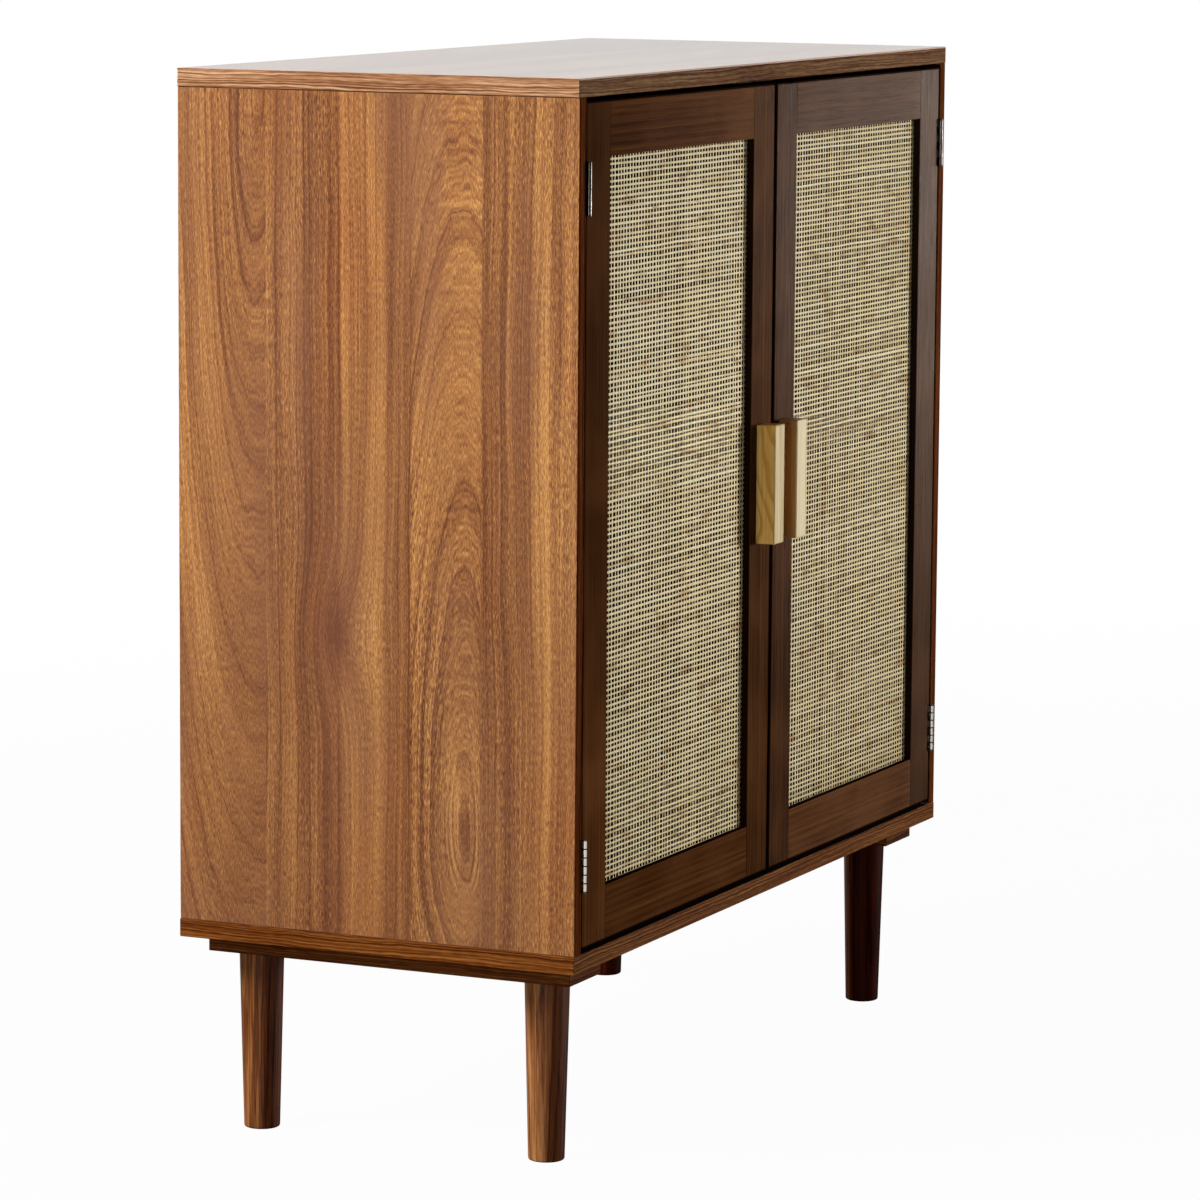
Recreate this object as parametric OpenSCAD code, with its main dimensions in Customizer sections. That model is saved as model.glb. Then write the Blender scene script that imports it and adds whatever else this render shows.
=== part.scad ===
// Two-door storage cabinet: walnut-faced boards, framed doors with cane panels, and tapered legs.
// Sizes are in millimetres. +Z is up and the doors face -Y. The origin is at floor height, in the
// middle of the space that the cabinet and its pulls fill. Left and right are as seen from the
// front. Pieces that come in pairs are drawn for the right-hand side and mirrored for the left.

/* [Carcass] */
// Width of the top and bottom panels
body_w = 800; // [700:5:900]
// Depth of the panels, front to back
body_d = 360; // [340:5:420]
// Height of the side panels
side_h = 687; // [600:1:750]
// Thickness of the top and bottom panels
slab_t = 15; // [14:0.5:20]
// Thickness of the side panels
side_t = 12; // [12:0.5:16]
// How far the side panels stand in from the ends of the top and bottom
side_inset = 1; // [0.5:0.5:3]
// Chamfer on the edges of the boards
board_ease = 0.6; // [0.3:0.1:1]

/* [Back and shelf] */
// Thickness of the back panel
back_t = 3; // [2.5:0.5:5]
// Distance from the back edges of the boards to the back panel
back_inset = 8; // [6:1:15]
// Depth of the groove that holds the back panel
groove_depth = 5; // [3:0.5:6]
// Thickness of the shelf
shelf_t = 12; // [10:1:18]
// Depth of the shelf, front to back
shelf_d = 295; // [280:5:300]
// Gap between the shelf and the boards round it
shelf_gap = 1; // [0.5:0.5:2]
// Diameter of the shelf pins and of their holes
shelf_pin_d = 5; // [4:0.5:6]
// Length of a shelf pin inside the side panel
shelf_pin_in = 8; // [6:0.5:9]
// Length of a shelf pin under the shelf
shelf_pin_out = 9; // [7:0.5:12]
// Distance of the pin holes from the front and back edges of the side panel
shelf_pin_edge = 75; // [65:5:90]
// Height from one row of pin holes to the next
shelf_pin_pitch = 64; // [32:16:96]
// Rows of pin holes above the shelf, and as many below it
shelf_pin_rows = 1; // [1:1:2]

/* [Legs] */
// Height of the legs
leg_h = 152; // [120:1:180]
// Diameter at the top of a leg
leg_top_d = 37.5; // [34:0.5:44]
// Diameter at the foot of a leg
leg_foot_d = 30; // [26:0.5:34]
// Rounding at the foot of a leg
foot_round = 2; // [1:0.5:4]
// Width of the boards that carry the legs
leg_board_w = 60; // [50:1:70]
// Thickness of the boards that carry the legs
leg_board_t = 15; // [14:0.5:20]
// Distance of a leg board from the end of the bottom panel
leg_board_inset = 23.5; // [15:0.5:40]
// Distance of a leg board from the front and back edges of the bottom panel
leg_board_setback = 14.5; // [10:0.5:20]
// Distance of a leg's centre from the end of its board
leg_end = 34; // [28:1:45]
// Diameter of the bolt in the top of a leg
leg_bolt_d = 8; // [6:1:8]
// Length of the leg bolt inside the leg
leg_bolt_in_leg = 28; // [20:1:40]
// Outer diameter of the threaded insert's barrel
insert_d = 11; // [10:0.5:12]
// Diameter of the insert's flange
insert_flange_d = 20; // [16:1:24]
// Thickness of the insert's flange
insert_flange_t = 1.5; // [1:0.5:2]
// Distance between the screws that hold a leg board
board_screw_pitch = 80; // [50:5:90]
// Diameter of the leg board screws
board_screw_d = 4; // [3.5:0.5:5]
// How far a leg board screw bites into the bottom panel
board_screw_bite = 11; // [8:0.5:12]

/* [Carcass joints] */
// Diameter of the cam locks
cam_d = 15; // [12:0.5:18]
// Depth of the cam locks
cam_depth = 9.5; // [9:0.5:10]
// Distance from a cam's centre to the end of the side panel
cam_reach = 24; // [20:1:34]
// Distance of the cams from the front and back edges of the side panel
cam_edge = 50; // [45:1:65]
// Length of a cam bolt's thread inside the top or bottom panel
cam_bolt_bite = 10; // [8:0.5:11]
// Diameter of a cam bolt's thread and head
cam_bolt_d = 6; // [5:0.5:6]
// Diameter of the wooden dowels
dowel_d = 6; // [5:0.5:7]
// Length of a carcass dowel inside the top or bottom panel
dowel_bite = 10; // [7:0.5:11]
// Length of a carcass dowel inside the side panel
dowel_tail = 15; // [10:1:20]
// Distance of the carcass dowels from the front and back edges of the side panel
dowel_edge = 95; // [80:5:130]

/* [Doors] */
// Thickness of the door frames
door_t = 18; // [17:0.5:20]
// Width of the upright frame pieces
stile_w = 45; // [40:1:55]
// Height of the cross pieces of the frame
rail_h = 45; // [38:1:60]
// How far the doors stand back from the front of the boards
door_setback = 0.5; // [0:0.1:1]
// Gap over the doors
door_top_gap = 3.5; // [2.5:0.5:4.5]
// Gap under the doors
door_bottom_gap = 4; // [2:0.5:6]
// Gap between the two doors
meeting_gap = 4; // [3:0.5:6]
// Chamfer on the edges of the frame pieces
frame_ease = 0.4; // [0.2:0.1:0.8]
// Length of a frame dowel on each side of its joint
frame_dowel_half = 18; // [12:1:22]
// Distance between the two dowels of a frame joint
frame_dowel_pitch = 22; // [18:1:26]

/* [Cane panels] */
// Depth from the face of the frame to the cane
cane_recess = 6; // [4:0.5:7]
// Thickness of the woven cane
cane_t = 1.6; // [1:0.2:2.4]
// Width of the rebate that holds the cane, behind the frame
rebate_w = 8; // [6:0.5:10]
// Openings across each cane panel, which stand for its fine square mesh
cane_columns = 12; // [8:1:12]
// Openings up each cane panel
cane_rows = 24; // [16:1:24]
// Width of the woven bands between the openings
cane_band = 11.5; // [8:0.5:14]

/* [Pulls] */
// Height of the pulls
pull_h = 102; // [90:1:140]
// Width of the pulls
pull_w = 21; // [16:0.5:26]
// How far the pulls stand out from the door
pull_d = 17.5; // [15:0.5:24]
// Chamfer on the edges of the pulls
pull_ease = 0.8; // [0.4:0.1:1.5]
// Distance between the two screws of a pull
pull_screw_pitch = 64; // [48:1:76]
// Diameter of the pull screws
pull_screw_d = 4; // [3:0.5:5]
// How far a pull screw goes into the pull
pull_screw_bite = 12; // [8:0.5:13]
// Diameter of a pull screw's head
pull_head_d = 8; // [6.5:0.5:9]
// Height of a pull screw's head
pull_head_h = 2.4; // [2:0.1:3]

/* [Hinges] */
// Length of a hinge
hinge_l = 42; // [36:1:50]
// Distance from the end of the door to the hinge
hinge_end = 47.5; // [47:0.5:80]
// Number of knuckles on a hinge
hinge_knuckles = 6; // [4:2:8]
// Outer radius of the knuckles
knuckle_r = 2.1; // [2:0.1:2.4]
// Radius of the hinge pin
pin_r = 1; // [0.8:0.1:1.1]
// Thickness of a hinge leaf
leaf_t = 1.1; // [1:0.1:1.3]
// Gap between the closed leaves
leaf_gap = 1.3; // [1.2:0.1:1.6]
// Reach of a leaf behind the pin
leaf_w = 15; // [12:0.5:16]
// Distance between the screws of a leaf
leaf_screw_pitch = 26; // [20:1:28]
// Distance between a knuckle and the door's face
knuckle_clear = 0.3; // [0.3:0.1:0.6]
// Radial clearance of the pin in the knuckles
pin_play = 0.05; // [0.02:0.01:0.1]

/* [Small screws] */
// Length of the small countersunk screws
screw_l = 10; // [8:0.5:11]
// Diameter of the small screws
screw_d = 2.8; // [2.4:0.1:3.2]
// Diameter of the small screws' heads
screw_head_d = 5.4; // [5:0.1:6]

/* [Magnetic catches] */
// Width of a catch across its ears
catch_w = 40; // [38:1:41]
// Width of the catch's body between the ears
catch_body_w = 24; // [20:1:25]
// Depth of a catch, front to back
catch_d = 14; // [12:1:20]
// Height of a catch below the top panel
catch_h = 17; // [17:1:20]
// Thickness of the catch's ears
catch_ear_t = 3; // [2:0.5:4]
// Width of the magnet in a catch
magnet_w = 18; // [14:1:18]
// Height of the magnet
magnet_h = 9; // [7:0.5:10]
// Depth of the magnet
magnet_d = 11; // [8:0.5:11]
// Distance of the magnet's middle below the top panel
magnet_drop = 11; // [10.5:0.5:11.5]
// How far the magnet stands out of the catch
magnet_proud = 0.6; // [0.3:0.1:1]
// Gap between the magnet and the strike plate on the closed door
magnet_air = 0.3; // [0.2:0.1:0.5]
// Width of a strike plate
strike_w = 24; // [20:1:30]
// Height of a strike plate
strike_h = 11; // [9:0.5:12]
// Thickness of a strike plate
strike_t = 1; // [1:0.1:1.2]

/* [Hidden] */
$fn = 48;
fit = 0.05;            // radial clearance of screws, dowels and other pieces that stay put
slot_play = 0.3;       // clearance of boards and strips in their grooves and rebates
over = 1;              // how far a cutter runs past the face that it opens
board_head_d = 2 * board_screw_d;
knuckle_play = 0.2;    // gap between neighbouring knuckles
pin_head_t = 0.6;      // thickness of the pin's flat heads
cam_stem_d = 4;
cam_head_l = 4;
cross_w = 1.6;         // width of the screwdriver cross in a cam
cross_depth = 1.5;
mortise_play = 0.3;    // clearance round a hinge leaf let into the door

board_z = leg_h;
bottom_z = board_z + leg_board_t;
inside_z0 = bottom_z + slab_t;
inside_z1 = inside_z0 + side_h;
inside_mid_z = (inside_z0 + inside_z1) / 2;

pull_reach = pull_d - door_setback;
back_y = (body_d + pull_reach) / 2;
front_y = back_y - body_d;

side_x = body_w / 2 - side_inset;
inner_x = side_x - side_t;
side_mid_x = inner_x + side_t / 2;
leg_x = body_w / 2 - leg_board_inset - leg_board_w / 2;
leg_ys = [front_y + leg_board_setback + leg_end, back_y - leg_board_setback - leg_end];
leg_board_l = body_d - 2 * leg_board_setback;
board_screw_l = leg_board_t + board_screw_bite;
mid_y = (front_y + back_y) / 2;
board_screw_ys = [for (i = [-1:1]) mid_y + i * board_screw_pitch];

cam_ys = [front_y + cam_edge, back_y - cam_edge];
dowel_ys = [front_y + dowel_edge, back_y - dowel_edge];
pin_ys = [front_y + shelf_pin_edge, back_y - shelf_pin_edge];

back_face_y = back_y - back_inset;
shelf_back_y = back_face_y - back_t - shelf_gap;
shelf_z = inside_mid_z + shelf_pin_d / 2;

axis_x = inner_x - leaf_t - leaf_gap / 2;
axis_y = front_y + door_setback - knuckle_r - knuckle_clear;
door_x0 = meeting_gap / 2;
door_x1 = axis_x - leaf_gap / 2;
door_y0 = front_y + door_setback;
door_y1 = door_y0 + door_t;
door_z0 = inside_z0 + door_bottom_gap;
door_z1 = inside_z1 - door_top_gap;
door_mid_z = (door_z0 + door_z1) / 2;
open_x0 = door_x0 + stile_w;
open_x1 = door_x1 - stile_w;
open_z0 = door_z0 + rail_h;
open_z1 = door_z1 - rail_h;
cane_y = door_y0 + cane_recess;
bead_y = cane_y + cane_t;
cane_pitch_x = (open_x1 - open_x0) / cane_columns;
cane_pitch_z = (open_z1 - open_z0) / cane_rows;
pull_x = door_x0 + stile_w / 2;
pull_zs = [door_mid_z - pull_screw_pitch / 2, door_mid_z + pull_screw_pitch / 2];

hinge_zs = [door_z0 + hinge_end + hinge_l / 2, door_z1 - hinge_end - hinge_l / 2];
knuckle_l = hinge_l / hinge_knuckles;
leaf_y0 = knuckle_r + knuckle_clear;
leaf_screw_y = (leaf_y0 + leaf_w) / 2;

catch_face_y = door_y1 + strike_t + magnet_air + magnet_proud;
catch_screw_x = (catch_w + catch_body_w) / 4;
catch_screw_y = catch_face_y + catch_d / 2;
magnet_z = inside_z1 - magnet_drop;

// Helpers

// Draws for the right-hand side as it is, or mirrored for the left
module on_left() mirror([1, 0, 0]) children();
module on_both() {
    children();
    on_left() children();
}

// A rectangle from the origin with its four corners cut off
module eased_rect(w, h, ease) {
    polygon([[ease, 0], [w - ease, 0], [w, ease], [w, h - ease],
             [w - ease, h], [ease, h], [0, h - ease], [0, ease]]);
}

// A board between two corner points, with all its edges chamfered
module board(low, high, ease) {
    size = high - low;
    translate(low) intersection() {
        linear_extrude(size.z) eased_rect(size.x, size.y, ease);
        translate([0, size.y, 0]) rotate([90, 0, 0]) linear_extrude(size.y)
            eased_rect(size.x, size.z, ease);
        rotate([90, 0, 90]) linear_extrude(size.x) eased_rect(size.y, size.z, ease);
    }
}

// A plain block between two corner points
module block(low, high) translate(low) cube(high - low);

// A countersunk screw with its head's top at z = 0, pointing along +Z
module countersunk(d, head_d, len) {
    tip = d;
    sink = (head_d - d) / 2;
    rotate_extrude() polygon([[0, 0], [head_d / 2, 0], [d / 2, sink], [d / 2, len - tip], [0, len]]);
}

// The hole for a countersunk screw, open above its head
module countersunk_hole(d, head_d, len) {
    sink = (head_d - d) / 2;
    rotate_extrude() polygon([[0, -over], [head_d / 2 + fit, -over], [head_d / 2 + fit, 0],
                              [d / 2 + fit, sink], [d / 2 + fit, len + fit], [0, len + fit]]);
}
module small_screw() countersunk(screw_d, screw_head_d, screw_l);
module small_screw_hole() countersunk_hole(screw_d, screw_head_d, screw_l);
module board_screw() countersunk(board_screw_d, board_head_d, board_screw_l);
module board_screw_hole() countersunk_hole(board_screw_d, board_head_d, board_screw_l);

// Places for the parts that repeat, on the right-hand side

// The top end and the bottom end of the side panel, with +Z pointing into the panel beyond
module at_side_ends() {
    translate([side_mid_x, 0, inside_z1]) children();
    translate([side_mid_x, 0, inside_z0]) mirror([0, 0, 1]) children();
}
module at_cams() for (y = cam_ys) translate([0, y, 0]) at_side_ends() children();
module at_dowels() for (y = dowel_ys) translate([0, y, 0]) at_side_ends() children();
module at_shelf_pin_row(z) for (y = pin_ys) translate([inner_x, y, z]) rotate([0, 90, 0]) children();
module at_legs() for (y = leg_ys) translate([leg_x, y, 0]) children();
module at_board_screws() for (y = board_screw_ys) translate([leg_x, y, board_z]) children();
module at_hinges() for (z = hinge_zs) translate([axis_x, axis_y, z]) children();
module at_leaf_screws() {
    for (s = [-1, 1]) translate([0, leaf_screw_y, s * leaf_screw_pitch / 2]) children();
}
module side_leaf_screw_places() {
    at_leaf_screws() translate([leaf_gap / 2, 0, 0]) rotate([0, 90, 0]) children();
}
module door_leaf_screw_places() {
    at_leaf_screws() translate([-leaf_gap / 2, 0, 0]) rotate([0, -90, 0]) children();
}
module at_catch_screws() {
    for (s = [-1, 1])
        translate([pull_x + s * catch_screw_x, catch_screw_y, inside_z1 - catch_ear_t]) children();
}
module at_strike_screw() {
    translate([pull_x, door_y1 + strike_t, magnet_z]) rotate([90, 0, 0]) children();
}
module at_pull_screws() for (z = pull_zs) translate([pull_x, door_y1, z]) rotate([90, 0, 0]) children();
module at_frame_joints() {
    for (x = [open_x0, open_x1], z = [door_z0 + rail_h / 2, door_z1 - rail_h / 2], s = [-1, 1])
        translate([x, (door_y0 + door_y1) / 2, z + s * frame_dowel_pitch / 2])
            rotate([0, 90, 0]) children();
}

// Holes that one piece shares with its neighbours

module cam_pockets() {
    at_cams() translate([-side_t / 2 - over, 0, -cam_reach]) rotate([0, 90, 0])
        cylinder(d = cam_d + 2 * fit, h = cam_depth + over + fit);
}
module cam_bolt_holes() {
    at_cams() translate([0, 0, -cam_reach]) cylinder(d = cam_bolt_d + 2 * slot_play, h = cam_reach + over);
}
module cam_bolt_threads() {
    at_cams() translate([0, 0, -over]) cylinder(d = cam_bolt_d + 2 * fit, h = cam_bolt_bite + over + fit);
}
module dowel_holes() {
    at_dowels() translate([0, 0, -dowel_tail - fit])
        cylinder(d = dowel_d + 2 * fit, h = dowel_tail + dowel_bite + 2 * fit);
}
module shelf_pin_holes() {
    for (i = [-shelf_pin_rows:shelf_pin_rows])
        at_shelf_pin_row(inside_mid_z + i * shelf_pin_pitch)
            translate([0, 0, -over]) cylinder(d = shelf_pin_d + 2 * fit, h = shelf_pin_in + over + fit);
}
module back_groove() {
    x = inner_x + groove_depth;
    block([-x, back_face_y - back_t - slot_play, inside_z0 - groove_depth],
          [x, back_face_y + slot_play, inside_z1 + groove_depth]);
}
module frame_dowel_holes() {
    half = frame_dowel_half + fit;
    at_frame_joints() translate([0, 0, -half]) cylinder(d = dowel_d + 2 * fit, h = 2 * half);
}
module cane_rebate() {
    block([open_x0 - rebate_w, cane_y, open_z0 - rebate_w],
          [open_x1 + rebate_w, door_y1 + over, open_z1 + rebate_w]);
}

// Carcass

module slab(z) board([-body_w / 2, front_y, z], [body_w / 2, back_y, z + slab_t], board_ease);

module top_panel() {
    color("#6f4a30") difference() {
        slab(inside_z1);
        back_groove();
        on_both() {
            cam_bolt_threads();
            dowel_holes();
            at_catch_screws() small_screw_hole();
        }
    }
}

module bottom_panel() {
    color("#6f4a30") difference() {
        slab(bottom_z);
        back_groove();
        on_both() {
            cam_bolt_threads();
            dowel_holes();
            at_board_screws() board_screw_hole();
        }
    }
}

module side_panel() {
    color("#9a5f38") difference() {
        board([inner_x, front_y, inside_z0], [side_x, back_y, inside_z1], board_ease);
        back_groove();
        cam_pockets();
        cam_bolt_holes();
        dowel_holes();
        shelf_pin_holes();
        at_hinges() side_leaf_screw_places() small_screw_hole();
    }
}

module back_panel() {
    x = inner_x + groove_depth - slot_play;
    rise = groove_depth - slot_play;
    color("#8a6546")
        block([-x, back_face_y - back_t, inside_z0 - rise], [x, back_face_y, inside_z1 + rise]);
}

module shelf() {
    x = inner_x - shelf_gap;
    color("#7d5032")
        board([-x, shelf_back_y - shelf_d, shelf_z], [x, shelf_back_y, shelf_z + shelf_t], board_ease);
}

module shelf_pins() {
    color("silver") on_both() at_shelf_pin_row(inside_mid_z)
        translate([0, 0, -shelf_pin_out]) cylinder(d = shelf_pin_d, h = shelf_pin_in + shelf_pin_out);
}

// A cam lock lies in its pocket with its face flush. The bolt enters from its rim
module cam_lock() {
    difference() {
        translate([-side_t / 2, 0, -cam_reach]) rotate([0, 90, 0]) cylinder(d = cam_d, h = cam_depth);
        translate([0, 0, -cam_reach - cam_head_l / 2 - fit])
            cylinder(d = cam_bolt_d + 2 * slot_play, h = cam_reach);
        for (a = [0, 90])
            translate([-side_t / 2, 0, -cam_reach]) rotate([a, 0, 0])
                cube([2 * cross_depth, cam_d / 2, cross_w], center = true);
    }
}
module cam_locks() color("silver") on_both() at_cams() cam_lock();

module cam_bolt() {
    translate([0, 0, -cam_reach - cam_head_l / 2]) cylinder(d = cam_bolt_d, h = cam_head_l);
    translate([0, 0, -cam_reach]) cylinder(d = cam_stem_d, h = cam_reach + over);
    cylinder(d = cam_bolt_d, h = cam_bolt_bite);
}
module cam_bolts() color("silver") on_both() at_cams() cam_bolt();

module carcass_dowels() {
    color("burlywood") on_both() at_dowels()
        translate([0, 0, -dowel_tail]) cylinder(d = dowel_d, h = dowel_tail + dowel_bite);
}

// Legs

module leg_board() {
    x = leg_x - leg_board_w / 2;
    y = mid_y - leg_board_l / 2;
    barrel_l = leg_board_t - 2;
    color("#5f3d27") difference() {
        board([x, y, board_z], [x + leg_board_w, y + leg_board_l, bottom_z], board_ease);
        at_legs() {
            translate([0, 0, board_z - over])
                cylinder(d = leg_bolt_d + 2 * slot_play, h = leg_board_t + 2 * over);
            translate([0, 0, bottom_z - barrel_l]) cylinder(d = insert_d + 2 * fit, h = barrel_l + over);
            translate([0, 0, bottom_z - insert_flange_t])
                cylinder(d = insert_flange_d + 2 * fit, h = insert_flange_t + over);
        }
        at_board_screws() board_screw_hole();
    }
}

module leg_board_screws() color("silver") on_both() at_board_screws() board_screw();

// A flanged nut let into the leg board from above, which the leg bolt screws into
module leg_inserts() {
    barrel_l = leg_board_t - 2;
    color("silver") on_both() at_legs() difference() {
        union() {
            translate([0, 0, bottom_z - barrel_l]) cylinder(d = insert_d, h = barrel_l);
            translate([0, 0, bottom_z - insert_flange_t]) cylinder(d = insert_flange_d, h = insert_flange_t);
        }
        translate([0, 0, board_z]) cylinder(d = leg_bolt_d + 2 * fit, h = leg_board_t + over);
    }
}

module leg_bolts() {
    color("silver") on_both() at_legs() translate([0, 0, leg_h - leg_bolt_in_leg])
        cylinder(d = leg_bolt_d, h = leg_bolt_in_leg + leg_board_t - 1);
}

// A straight round taper with its foot rounded over
module leg(y) {
    foot_r = leg_foot_d / 2;
    steps = 6;
    slope = (leg_top_d - leg_foot_d) / 2 / leg_h;
    round_r = foot_r + slope * foot_round;
    color("#6b3f26") translate([leg_x, y, 0]) difference() {
        rotate_extrude($fn = 64) polygon(concat(
            [[0, 0]],
            [for (i = [0:steps])
                let (a = -90 + 90 * i / steps)
                [round_r - foot_round + foot_round * cos(a), foot_round + foot_round * sin(a)]],
            [[leg_top_d / 2, leg_h], [0, leg_h]]));
        translate([0, 0, leg_h - leg_bolt_in_leg - fit])
            cylinder(d = leg_bolt_d + 2 * fit, h = leg_bolt_in_leg + over);
    }
}

// Hinges: butt hinges let into the door, with their knuckles in front

// toward = 1 draws the leaf on the side panel, and -1 the leaf on the door
module hinge_leaf(toward, first_knuckle) {
    x = toward > 0 ? leaf_gap / 2 : -leaf_gap / 2 - leaf_t;
    lap = 0.5;
    difference() {
        union() {
            translate([x, leaf_y0, -hinge_l / 2]) cube([leaf_t, leaf_w - leaf_y0, hinge_l]);
            for (i = [first_knuckle:2:hinge_knuckles - 1])
                translate([0, 0, i * knuckle_l - hinge_l / 2 + knuckle_play / 2]) {
                    cylinder(r = knuckle_r, h = knuckle_l - knuckle_play);
                    translate([x, 0, 0]) cube([leaf_t, leaf_y0 + lap, knuckle_l - knuckle_play]);
                }
        }
        translate([0, 0, -hinge_l]) cylinder(r = pin_r + pin_play, h = 2 * hinge_l);
        if (toward > 0) side_leaf_screw_places() small_screw_hole();
        else door_leaf_screw_places() small_screw_hole();
    }
}
module side_leaf(z) color("silver") translate([axis_x, axis_y, z]) hinge_leaf(1, 0);
module door_leaf(z) color("silver") translate([axis_x, axis_y, z]) hinge_leaf(-1, 1);

module hinge_pin(z) {
    head_z = hinge_l / 2;
    color("silver") translate([axis_x, axis_y, z]) {
        translate([0, 0, -head_z - pin_head_t]) cylinder(r = pin_r, h = 2 * (head_z + pin_head_t));
        for (s = [-1, 1])
            translate([0, 0, s * (head_z + pin_head_t / 2)])
                cylinder(r = knuckle_r - pin_play, h = pin_head_t, center = true);
    }
}

// The notch in the edge of the door that a leaf lies in, open at the door's face
module leaf_mortises() {
    at_hinges() block([-leaf_gap / 2 - leaf_t - fit, leaf_y0 - over, -hinge_l / 2 - mortise_play],
                      [0, leaf_w + mortise_play, hinge_l / 2 + mortise_play]);
}

// Catches

module catch() {
    body_x0 = pull_x - catch_body_w / 2;
    color("#5a3c28") difference() {
        union() {
            block([body_x0, catch_face_y, inside_z1 - catch_h],
                  [body_x0 + catch_body_w, catch_face_y + catch_d, inside_z1]);
            block([pull_x - catch_w / 2, catch_face_y + over, inside_z1 - catch_ear_t],
                  [pull_x + catch_w / 2, catch_face_y + catch_d - over, inside_z1]);
        }
        translate([pull_x, catch_face_y, magnet_z])
            cube([magnet_w + 2 * fit, 2 * (magnet_d - magnet_proud + fit), magnet_h + 2 * fit], center = true);
        at_catch_screws() small_screw_hole();
    }
}

module catch_magnets() {
    y = catch_face_y - magnet_proud;
    color("#3a3a3c") on_both()
        block([pull_x - magnet_w / 2, y, magnet_z - magnet_h / 2],
              [pull_x + magnet_w / 2, y + magnet_d, magnet_z + magnet_h / 2]);
}

module carcass_small_screws() {
    color("silver") on_both() {
        at_hinges() side_leaf_screw_places() small_screw();
        at_catch_screws() small_screw();
    }
}

// Doors

module stile(x, with_mortises) {
    color("#4a2c1c") difference() {
        board([x, door_y0, door_z0], [x + stile_w, door_y1, door_z1], frame_ease);
        cane_rebate();
        frame_dowel_holes();
        if (with_mortises) {
            leaf_mortises();
            at_hinges() door_leaf_screw_places() small_screw_hole();
        } else {
            at_strike_screw() small_screw_hole();
            at_pull_screws() translate([0, 0, -over])
                cylinder(d = pull_screw_d + 2 * fit, h = door_t + 2 * over);
        }
    }
}
module hinge_stile() stile(open_x1, true);
module meeting_stile() stile(door_x0, false);

module rail(z) {
    color("#4a2c1c") difference() {
        board([open_x0, door_y0, z], [open_x1, door_y1, z + rail_h], frame_ease);
        cane_rebate();
        frame_dowel_holes();
    }
}
module top_rail() rail(open_z1);
module bottom_rail() rail(door_z0);

module frame_dowels() {
    color("burlywood") at_frame_joints()
        cylinder(d = dowel_d, h = 2 * frame_dowel_half, center = true);
}

// The cane is a flat open sheet that lies on the ledge of the rebate. Its margin is closed, and
// its openings fill the door's own opening, with half a band at each edge
module cane_panel() {
    out = rebate_w - slot_play;
    hole = [cane_pitch_x - cane_band, cane_pitch_z - cane_band];
    color("#cdb98e") translate([open_x0, bead_y, open_z0]) rotate([90, 0, 0]) linear_extrude(cane_t)
        difference() {
            translate([-out, -out]) square([open_x1 - open_x0 + 2 * out, open_z1 - open_z0 + 2 * out]);
            for (i = [0:cane_columns - 1], j = [0:cane_rows - 1])
                translate([i * cane_pitch_x + cane_band / 2, j * cane_pitch_z + cane_band / 2])
                    square(hole);
        }
}

// Four strips behind the cane hold it in the rebate, flush with the back of the frame
module cane_beads() {
    out = rebate_w - slot_play;
    x0 = open_x0 - out;
    x1 = open_x1 + out;
    z0 = open_z0 - out;
    z1 = open_z1 + out;
    color("#4a2c1c") {
        for (x = [x0, x1 - out]) board([x, bead_y, z0], [x + out, door_y1, z1], frame_ease);
        for (z = [z0, z1 - out])
            board([x0 + out + slot_play, bead_y, z], [x1 - out - slot_play, door_y1, z + out], frame_ease);
    }
}

module pull() {
    color("#d3a878") difference() {
        board([pull_x - pull_w / 2, door_y0 - pull_d, door_mid_z - pull_h / 2],
              [pull_x + pull_w / 2, door_y0, door_mid_z + pull_h / 2], pull_ease);
        at_pull_screws() cylinder(d = pull_screw_d + 2 * fit, h = door_t + pull_screw_bite + fit);
    }
}

module pull_screws() {
    color("silver") at_pull_screws() {
        cylinder(d = pull_screw_d, h = door_t + pull_screw_bite);
        translate([0, 0, -pull_head_h]) cylinder(d = pull_head_d, h = pull_head_h);
    }
}

module strike_plate() {
    color("silver") difference() {
        block([pull_x - strike_w / 2, door_y1, magnet_z - strike_h / 2],
              [pull_x + strike_w / 2, door_y1 + strike_t, magnet_z + strike_h / 2]);
        at_strike_screw() small_screw_hole();
    }
}

module door_small_screws() {
    color("silver") {
        at_hinges() door_leaf_screw_places() small_screw();
        at_strike_screw() small_screw();
    }
}

top_panel();
bottom_panel();
on_left() side_panel();  // left_side_panel
side_panel();  // right_side_panel
back_panel();
shelf();
shelf_pins();
cam_locks();
cam_bolts();
carcass_dowels();
on_left() leg_board();  // left_leg_board
leg_board();  // right_leg_board
leg_board_screws();
leg_inserts();
leg_bolts();
on_left() leg(leg_ys[0]);  // front_left_leg
leg(leg_ys[0]);  // front_right_leg
on_left() leg(leg_ys[1]);  // back_left_leg
leg(leg_ys[1]);  // back_right_leg
on_left() side_leaf(hinge_zs[1]);  // left_upper_side_leaf
on_left() side_leaf(hinge_zs[0]);  // left_lower_side_leaf
side_leaf(hinge_zs[1]);  // right_upper_side_leaf
side_leaf(hinge_zs[0]);  // right_lower_side_leaf
on_left() hinge_pin(hinge_zs[1]);  // left_upper_hinge_pin
on_left() hinge_pin(hinge_zs[0]);  // left_lower_hinge_pin
hinge_pin(hinge_zs[1]);  // right_upper_hinge_pin
hinge_pin(hinge_zs[0]);  // right_lower_hinge_pin
on_left() catch();  // left_catch
catch();  // right_catch
catch_magnets();
carcass_small_screws();
on_left() hinge_stile();  // left_hinge_stile
on_left() meeting_stile();  // left_meeting_stile
on_left() top_rail();  // left_top_rail
on_left() bottom_rail();  // left_bottom_rail
on_left() frame_dowels();  // left_frame_dowels
on_left() cane_panel();  // left_cane_panel
on_left() cane_beads();  // left_cane_beads
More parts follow.
